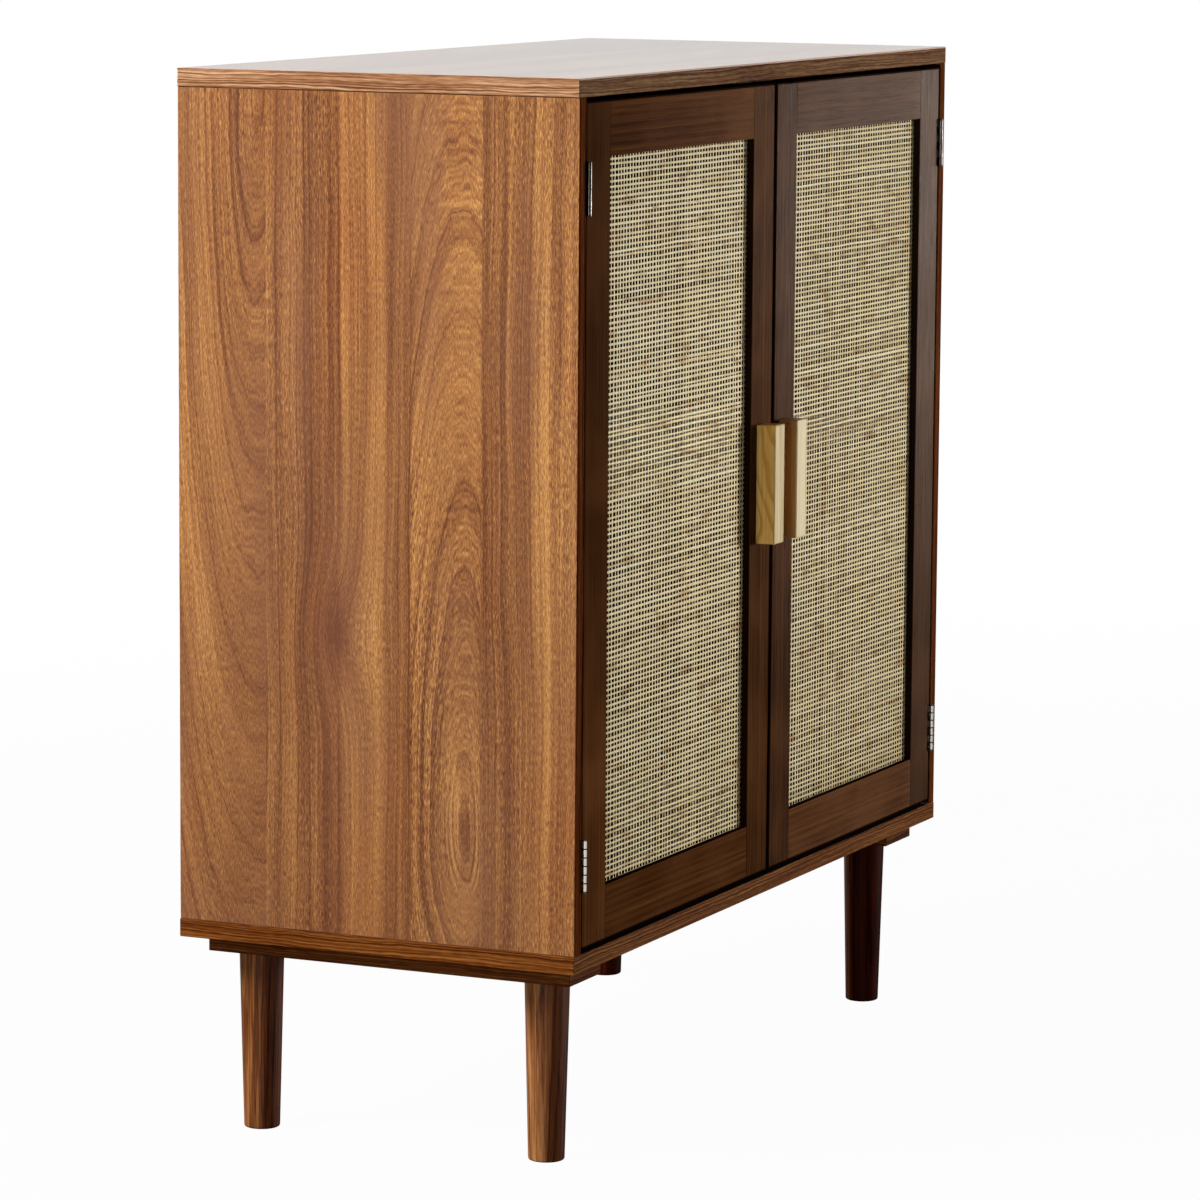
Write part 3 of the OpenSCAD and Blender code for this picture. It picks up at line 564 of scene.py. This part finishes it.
def cane_finish(name, axis):
    """Split cane: each strand has its own tone in the attribute "strand", with painted highlights
    and shade at the crossings, and fibres run along the strand, which lies along one axis. The cane
    is darker to the right, painted shade that evens out the front lamp, which is stronger there."""
    g = Finish(name)
    own = g.node("ShaderNodeAttribute", attribute_name="strand").outputs["Fac"]
    along, across = (g.x, g.z) if axis == "x" else (g.z, g.x)
    fibre = g.noise(g.stretch(along, across, g.y, (40, 2600, 2600)), 3, 0.6)
    patch = g.noise(g.stretch(g.x, g.z, 0.0, (9, 34, 1)), 3, 0.6)
    blotch = g.noise(g.stretch(along, across, 2.0, (60, 300, 1)), 2)
    shade = g.sum(own, g.swing(fibre, 0.4), g.swing(patch, 0.5), g.swing(blotch, 0.4))
    tan = g.span(g.noise(g.stretch(g.x, g.z, 7.0, (26, 95, 1)), 2), 0.56, 0.70)
    colour = g.mix(g.times(tan, 0.60), g.ramp(shade, SPLIT_CANE), tone(196, 150, 84), "MULTIPLY")
    colour = g.tint(colour, g.mix(g.span(g.x, -0.35, 0.35), CANE_LEFT, CANE_RIGHT))
    rough = g.span(fibre, 0.3, 0.7, 0.42, 0.6)
    return g.finish(colour, rough, fibre, 0.00005, Specular_IOR_Level=0.25)


def metal_finish(name, colour, rough, hinges=None):
    """Plated metal with faint brushing and slight stains. hinges has the heights of the lower and
    the upper hinge's foot and the length of a knuckle, whose ends are darkened, painted shade at
    the seams. The upper hinges are painted darker, a painted reflection of dark surroundings."""
    g = Finish(name)
    brush = g.noise(g.stretch(g.x, g.y, g.z, (2600, 2600, 180)), 3)
    stain_and_shade = g.noise(g.stretch(g.x, g.y, g.z, (160, 160, 160)), 2)
    stained = tuple(0.62 * part for part in colour[:3]) + (1,)
    shade = g.mix(g.span(stain_and_shade, 0.4, 0.75, 0, 0.5), colour, stained)
    if hinges:
        lower, upper, length = hinges
        is_upper = g.calc("GREATER_THAN", g.z, CABINET_MIDDLE)
        foot = g.choose(is_upper, lower, upper)
        # Painted reflection: the upper hinges are darker, as if they mirrored dark surroundings
        shade = g.mix(is_upper, shade, tone(62, 58, 54))
        # Painted shade at the seams between the knuckles
        place = g.calc("FRACT", g.calc("DIVIDE", g.calc("SUBTRACT", g.z, foot), length))
        from_end = g.calc("MINIMUM", place, g.calc("SUBTRACT", 1.0, place))
        shade = g.mix(g.span(from_end, 0.05, 0.11, 0.95, 0.0), shade, tone(20, 17, 14))
    roughness = g.span(brush, 0.3, 0.7, rough - 0.06, rough + 0.1)
    return g.finish(shade, roughness, brush, 0.00002, Metallic=1.0)


def plain_finish(name, dark, light, size=900, gloss=0.5):
    """Moulded, blackened or sawn surface: fine mottling between two shades, with a slight
    grain."""
    g = Finish(name)
    fine = g.noise(g.stretch(g.x, g.y, g.z, (size,) * 3), 3, 0.6)
    slow = g.noise(g.stretch(g.x, g.y, g.z, (30, 30, 30)), 2)
    colour = g.mix(g.sum(g.swing(fine, 0.7), slow), dark, light)
    return g.finish(colour, g.span(fine, 0.3, 0.7, 0.55, 0.68), fine, 0.00005, Specular_IOR_Level=gloss)


KNUCKLES = 6
hinge_foot = [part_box(f"left_{place}_side_leaf")[0][2] for place in ("lower", "upper")]
knuckle = (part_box("left_lower_side_leaf")[1][2] - hinge_foot[0]) / KNUCKLES

FINISHES = {
    "side": board_finish("walnut_laminate_upright", "x", front=(0.245, 0.130, 0.074), gloss=0.08,
                         edge_gloss=0.0),
    "top": board_finish("walnut_laminate_top", "z", seed=1.3, face=(0.78, 0.88, 1.0),
                        edge=(0.91, 0.89, 0.88), front=(0.40, 0.365, 0.28),
                        crest=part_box("top_panel")[1][2], rough=0.22, gloss=0.5, coat=0.35),
    "base": board_finish("walnut_laminate_base", "z", seed=1.9, edge=(0.44, 0.265, 0.10),
                         front=(0.42, 0.29, 0.15)),
    # The shelf's front band is darkened, painted shade inside the cabinet
    "shelf": board_finish("walnut_laminate_shelf", "z", seed=3.1, front=(0.30, 0.22, 0.16)),
    "leg_board": board_finish("walnut_leg_board", "z", seed=2.1, face=(0.5, 0.4, 0.3),
                              edge=(0.34, 0.21, 0.10), front=(0.25, 0.16, 0.085)),
    "back": board_finish("walnut_back_board", "y", seed=4.4, face=(0.80, 0.76, 0.72)),
    "hinge_stile": frame_finish("dark_walnut_hinge_stile", 2, heart=(0.33, -0.30), light=0.90,
                                streaks=0.6, seed=1.0, foot=(1.8, 0.8)),
    "meeting_stile": frame_finish("dark_walnut_meeting_stile", 2, heart=(0.10, -0.24), light=0.91,
                                  streaks=1.6, seed=2.0),
    "rail": frame_finish("dark_walnut_rail", 0, heart=(-0.31, 0.60), light=1.14, streaks=1.1,
                         seed=3.0, foot=(1.0, 1.4)),
    "leg": leg_finish("walnut_leg"),
    "oak": oak_finish("pale_oak"),
    "weft": cane_finish("cane_across", "x"),
    "warp": cane_finish("cane_upright", "z"),
    "nickel": metal_finish("hinge_nickel", tone(222, 214, 202), 0.16, (*hinge_foot, knuckle)),
    "zinc": metal_finish("zinc_plate", tone(190, 190, 188), 0.36),
    "blackened": plain_finish("blackened_steel", tone(16, 14, 12), tone(30, 27, 24), gloss=0.1),
    "magnet": plain_finish("magnet_dark", tone(30, 29, 30), tone(50, 49, 50), gloss=0.1),
    "plastic": plain_finish("brown_plastic", tone(40, 26, 18), tone(58, 39, 28), gloss=0.1),
    "beech": plain_finish("beech_dowel", tone(196, 158, 112), tone(222, 190, 148), size=500),
}

NODE_FINISHES = {
    "side": ("left_side_panel", "right_side_panel"),
    "top": ("top_panel",),
    "base": ("bottom_panel",),
    "shelf": ("shelf",),
    "back": ("back_panel",),
    "leg_board": ("left_leg_board", "right_leg_board"),
    "leg": tuple(f"{end}_{side}_leg" for end in ("front", "back") for side in SIDES),
    "hinge_stile": tuple(f"{side}_{part}" for side in SIDES for part in ("hinge_stile", "cane_beads")),
    "meeting_stile": ("left_meeting_stile", "right_meeting_stile"),
    "rail": tuple(f"{side}_{part}_rail" for side in SIDES for part in ("top", "bottom")),
    "oak": ("left_pull", "right_pull"),
    "weft": ("left_cane_panel", "right_cane_panel"),
    "nickel": tuple(f"{side}_{place}_{part}" for side in SIDES for place in ("upper", "lower")
                    for part in ("side_leaf", "door_leaf", "hinge_pin")),
    "zinc": ("shelf_pins", "cam_bolts", "leg_board_screws", "leg_inserts", "leg_bolts",
             "carcass_small_screws", "left_pull_screws", "right_pull_screws"),
    "blackened": ("cam_locks", "left_strike_plate", "right_strike_plate",
                  "left_door_small_screws", "right_door_small_screws"),
    "magnet": ("catch_magnets",),
    "plastic": ("left_catch", "right_catch"),
    "beech": ("carcass_dowels", "left_frame_dowels", "right_frame_dowels"),
}


def paint(piece, material):
    """Gives the whole piece one material."""
    if not piece.data.materials:
        piece.data.materials.append(material)
    for place in piece.material_slots:
        place.material = material


for finish, names in NODE_FINISHES.items():
    for name in names:
        paint(nodes[name], FINISHES[finish])


# Woven cane

# Outline of a strand across its length: (across, out), with a rounded face and a flat back
STRAND = np.array(((-1.0, -0.35), (-0.62, 0.75), (0.0, 1.0), (0.62, 0.75), (1.0, -0.35)))
# For the strands from side to side and the upright ones: pitch, half a strand's width, and tone
CANE = {"weft": (0.00437, 0.00097, 0.57), "warp": (0.0058, 0.00098, 0.86)}
HALF_THICK = 0.00012  # half a strand's thickness
RISE = 0.00011  # how far a strand goes to the front or the back at a crossing
SHIFT = 0.05  # how far strands lie off their even places, as a share of the pitch
WANDER = 0.04  # how far a strand wanders along its length, as a share of the pitch
BENDS = 9  # places along a strand that its wander and its width are drawn for
WIDTH_SPREAD = 0.10  # how much widths differ from strand to strand, and along one strand
TONE_SPREAD = 0.10  # how much tones differ from strand to strand
CROSSING_LIGHT_AND_SHADE = 0.24  # painted highlight where a strand passes over, and painted shade where it passes under


def weave(side, kind, counts, low, high, rng):
    """All the strands of one kind in a cane sheet, as closed tubes: a strand's outline is carried
    along it. Strand i lies at an even pitch and goes over or under at crossing k, where its depth
    is rise * cos(pi * (k + i)) for the upright ones and the opposite for the others. Each strand's
    width, tone and place vary a little, its place wanders slowly along it, and it has a painted
    highlight where it passes over and painted shade where it passes under."""
    # The axes along and across the strands, the sign of their depth, and the kind they cross
    run, lie, way, other = (0, 2, -1, "warp") if kind == "weft" else (2, 0, 1, "weft")
    _, half_width, pale = CANE[kind]
    count = counts[kind]
    steps = 2 * counts[other] + 1
    pitch = (high[lie] - low[lie]) / count
    strand = np.arange(count)
    rest = low[lie] + pitch * (strand + 0.5)
    shift = rng.normal(0, SHIFT, count) * pitch
    wander = rng.normal(0, 1, (count, BENDS))
    bends = np.linspace(0, 1, BENDS)
    share = np.linspace(0, 1, steps)
    drift = np.array([np.interp(share, bends, row) for row in wander]) * WANDER * pitch
    out = way * RISE * np.cos(np.pi * (np.arange(steps)[None, :] / 2 - 0.5 + strand[:, None]))
    width = half_width * rng.normal(1, WIDTH_SPREAD, (count, 1)).clip(0.75, 1.25)
    wave = np.interp(share, bends, rng.normal(0, 0.7, BENDS))
    width = width * (1 + WIDTH_SPREAD * wave[None, :])
    points = np.zeros((count, steps, len(STRAND), 3))
    points[..., run] = np.linspace(low[run], high[run], steps)[None, :, None]
    points[..., lie] = ((rest + shift)[:, None] + drift)[..., None] + width[..., None] * STRAND[:, 0]
    points[..., 1] = (low[1] + high[1]) / 2 + out[..., None] - HALF_THICK * STRAND[:, 1]
    index = np.arange(points.size // 3).reshape(points.shape[:3])
    after = np.roll(index, -1, axis=2)
    faces = np.stack((index[:, :-1], after[:, :-1], after[:, 1:], index[:, 1:]), axis=-1)
    ends = np.concatenate((index[:, 0, ::-1], index[:, -1]))
    if kind == "weft":
        faces, ends = faces[..., ::-1], ends[:, ::-1]
    piece = add_piece(f"{side}_cane_{kind}", points, faces, ends)
    paint(piece, FINISHES[kind])
    # A strand's tone, with painted highlights where it passes over and painted shade where under
    own = rng.normal(pale, TONE_SPREAD, (count, 1)) - CROSSING_LIGHT_AND_SHADE * out / RISE
    layer = piece.data.attributes.new("strand", "FLOAT", "POINT")
    layer.data.foreach_set("value", np.repeat(own.ravel(), len(STRAND)).astype(np.float32))
    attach(piece, f"{side}_door")
    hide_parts(f"{side}_cane_panel")


def add_piece(name, points, faces, ends):
    """A piece from arrays of points, of four-sided smooth faces and of flat end faces."""
    mesh = bpy.data.meshes.new(name)
    mesh.from_pydata(points.reshape(-1, 3).tolist(), [], faces.reshape(-1, 4).tolist() + ends.tolist())
    mesh.polygons.foreach_set("use_smooth", np.arange(len(mesh.polygons)) < faces.size // 4)
    mesh.update()
    piece = bpy.data.objects.new(name, mesh)
    scene.collection.objects.link(piece)
    return piece


def cane_sheet(side, seed):
    """An open weave that fills the box of the CAD sheet, with as many strands as the pitches give."""
    rng = np.random.default_rng(seed)
    low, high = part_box(f"{side}_cane_panel")
    counts = {"weft": round((high[2] - low[2]) / CANE["weft"][0]),
              "warp": round((high[0] - low[0]) / CANE["warp"][0])}
    for kind in CANE:
        weave(side, kind, counts, low, high, rng)


for number, side in enumerate(SIDES):
    cane_sheet(side, 11 + number)


# Floor, backdrop and light

FLOOR_SIZE = 12.0
# How brightly the floor glows: to the camera, in reflections at the least, and how much more there
GLOW = 1.03
MIRRORED_GLOW = 0.04
MIRRORED_GLEAM = 0.85
# Share of the glow that the camera sees close to the cabinet. The rest is matte, with the shadow
GLOW_SHARE = 0.945


def make_floor():
    """A pale floor that the camera sees nearly white, with a faint soft shadow that fades away
    from the cabinet. Polished parts see it bright in front of the cabinet's left corner."""
    steps = np.linspace(-FLOOR_SIZE / 2, FLOOR_SIZE / 2, 3)
    grid_x, grid_y = np.meshgrid(steps, steps, indexing="ij")
    points = np.stack((grid_x, grid_y, np.zeros_like(grid_x)), axis=-1)
    index = np.arange(9).reshape(3, 3)
    faces = np.stack((index[:-1, :-1], index[1:, :-1], index[1:, 1:], index[:-1, 1:]), axis=-1)
    mesh = bpy.data.meshes.new("floor")
    mesh.from_pydata(points.reshape(-1, 3).tolist(), [], faces.reshape(-1, 4).tolist())
    floor = bpy.data.objects.new("floor", mesh)
    scene.collection.objects.link(floor)
    g = Finish("floor_white")
    far = g.calc("SQRT", g.sum(g.times(g.x, g.x), g.times(g.y, g.y)))
    ahead = g.sum(g.times(g.x, -0.7), g.times(g.y, -0.7), -0.40)
    bright = g.times(g.span(ahead, 0.1, 0.6), g.span(far, 2.5, 5.0, 1.0, 0.1))
    ray = g.node("ShaderNodeLightPath").outputs
    mirrored = g.calc("MAXIMUM", ray["Is Glossy Ray"], ray["Is Transmission Ray"])
    strength = g.choose(mirrored, GLOW, g.sum(g.times(bright, MIRRORED_GLEAM), MIRRORED_GLOW))
    matte = g.node("ShaderNodeBsdfDiffuse", {"Color": tone(125, 124, 122)}).outputs[0]
    glow = g.node("ShaderNodeEmission", {"Color": WHITE, "Strength": strength}).outputs[0]
    white = g.span(far, 1.5, 5.5, GLOW_SHARE, 1.0)
    seen = g.calc("MAXIMUM", g.times(ray["Is Camera Ray"], white), mirrored)
    g.close(g.node("ShaderNodeMixShader", {0: seen, 1: matte, 2: glow}).outputs[0])
    paint(floor, g.material)


EVEN_LIGHT = 0.10  # the world's light on the cabinet
TO_BACKDROP = (0.91, 0.415, 0.0)
TO_STRIP = (-0.5, -0.866, 0.0)


def make_world():
    """White to the camera. In reflections it is a white backdrop behind the cabinet that fades
    out towards the side, with a dim strip at the front, and as light it is a faint even grey."""
    world = bpy.data.worlds.new("studio")
    scene.world = world
    world.use_nodes = True
    world.node_tree.nodes.clear()

    def add(kind, inputs=None, **settings):
        return add_node(world.node_tree, kind, inputs, **settings).outputs

    way = add("ShaderNodeTexCoord")["Generated"]
    behind = add("ShaderNodeVectorMath", {0: way, 1: TO_BACKDROP}, operation="DOT_PRODUCT")["Value"]
    backdrop = add("ShaderNodeMapRange", {0: behind, 1: 0.63, 2: 0.84, 3: 0.03, 4: 1.0},
                   interpolation_type="SMOOTHSTEP")[0]
    before = add("ShaderNodeVectorMath", {0: way, 1: TO_STRIP}, operation="DOT_PRODUCT")["Value"]
    strip = add("ShaderNodeMapRange", {0: before, 1: 0.975, 2: 0.99, 3: 0.0, 4: 0.3})[0]
    both = add("ShaderNodeMath", {0: backdrop, 1: strip}, operation="ADD")[0]
    ray = add("ShaderNodeLightPath")
    mirrored = add("ShaderNodeMath", {0: ray["Is Glossy Ray"], 1: ray["Is Transmission Ray"]},
                   operation="MAXIMUM")[0]
    lit = add("ShaderNodeMix", {0: mirrored, 2: EVEN_LIGHT, 3: both})[0]
    strength = add("ShaderNodeMix", {0: ray["Is Camera Ray"], 2: lit, 3: 1.0})[0]
    sky = add("ShaderNodeBackground", {"Color": WHITE, "Strength": strength})[0]
    add("ShaderNodeOutputWorld", {0: sky})


# Each lamp's place and aim, the length of its side, its level and the angle of its beam. The low
# lamps stay below the top, which would mirror them
LAMPS = {
    "key_lamp": ((-2.4, 1.85, 2.7), (-0.4, 0.0, 0.55), 1.2, 1.374, 180),
    "side_fill": ((-4.4, -0.95, 0.46), (-0.4, -0.1, 0.45), 0.8, 0.20, 180),
    "front_lamp": ((2.95, -3.15, 0.55), (0.12, -0.17, 0.60), 0.6, 1.27, 30),
    "back_lamp": ((1.9, 3.1, 0.42), (0.0, 0.0, 0.5), 0.8, 0.6, 180),
}


def make_lamp(name, place, aim, size, level, spread):
    """A square soft lamp. level is the share of full light that it gives at the aim, and spread
    is the angle of its beam in degrees."""
    lamp = bpy.data.lights.new(name, "AREA")
    lamp.shape = "SQUARE"
    lamp.size = size
    away = Vector(aim) - Vector(place)
    half = math.radians(spread / 2)
    narrow = 1.0 if spread == 180 else math.tan(half) / (math.tan(half) - half)
    lamp.energy = level * math.pi ** 2 * away.length_squared / narrow
    lamp.spread = 2 * half
    holder = bpy.data.objects.new(name, lamp)
    scene.collection.objects.link(holder)
    holder.location = place
    holder.rotation_euler = away.to_track_quat("-Z", "Y").to_euler()


make_floor()
make_world()
for name, lamp in LAMPS.items():
    make_lamp(name, *lamp)

scene.view_settings.view_transform = "Standard"
